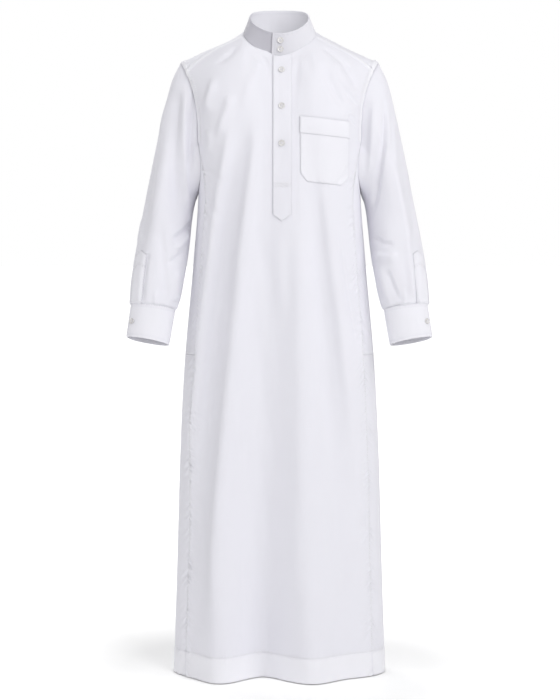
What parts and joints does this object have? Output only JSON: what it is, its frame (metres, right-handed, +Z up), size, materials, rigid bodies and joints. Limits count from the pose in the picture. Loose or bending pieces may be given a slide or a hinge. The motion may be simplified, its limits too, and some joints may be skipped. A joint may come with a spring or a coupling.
{
  "type": "thobe robe",
  "caption": "Ankle-length white thobe robe in its worn, hollow shape, with a stand collar, buttoned placket, chest pocket and long cuffed sleeves.",
  "frame": {"origin": "on the wearer's neck axis, level with the points where the shoulders meet the collar, where the wearer holds the robe up", "axes": "+Z up, the front of the robe faces -Y, +X is the wearer's left"},
  "size_m": [0.6546, 0.2657, 1.4451],
  "materials": {
    "white_cloth": "fine plain weave, pressed, very slight cool tint and a soft sheen",
    "pearl_button": "pearly polished plastic"
  },
  "bodies": {
    "root": {"front_panel": "white_cloth", "back_panel": "white_cloth", "side_upper_left": "white_cloth", "side_upper_right": "white_cloth", "side_lower_left": "white_cloth", "side_lower_right": "white_cloth", "sleeve_left": "white_cloth", "sleeve_right": "white_cloth", "cuff_left": "white_cloth", "cuff_right": "white_cloth", "sleeve_placket_left": "white_cloth", "sleeve_placket_right": "white_cloth", "collar": "white_cloth", "front_placket": "white_cloth", "chest_pocket": "white_cloth", "pocket_band": "white_cloth", "collar_button_1": "pearl_button", "collar_button_2": "pearl_button", "placket_button_1": "pearl_button", "placket_button_2": "pearl_button", "placket_button_3": "pearl_button", "cuff_button_left": "pearl_button", "cuff_button_right": "pearl_button"}
  },
  "joints": []
}
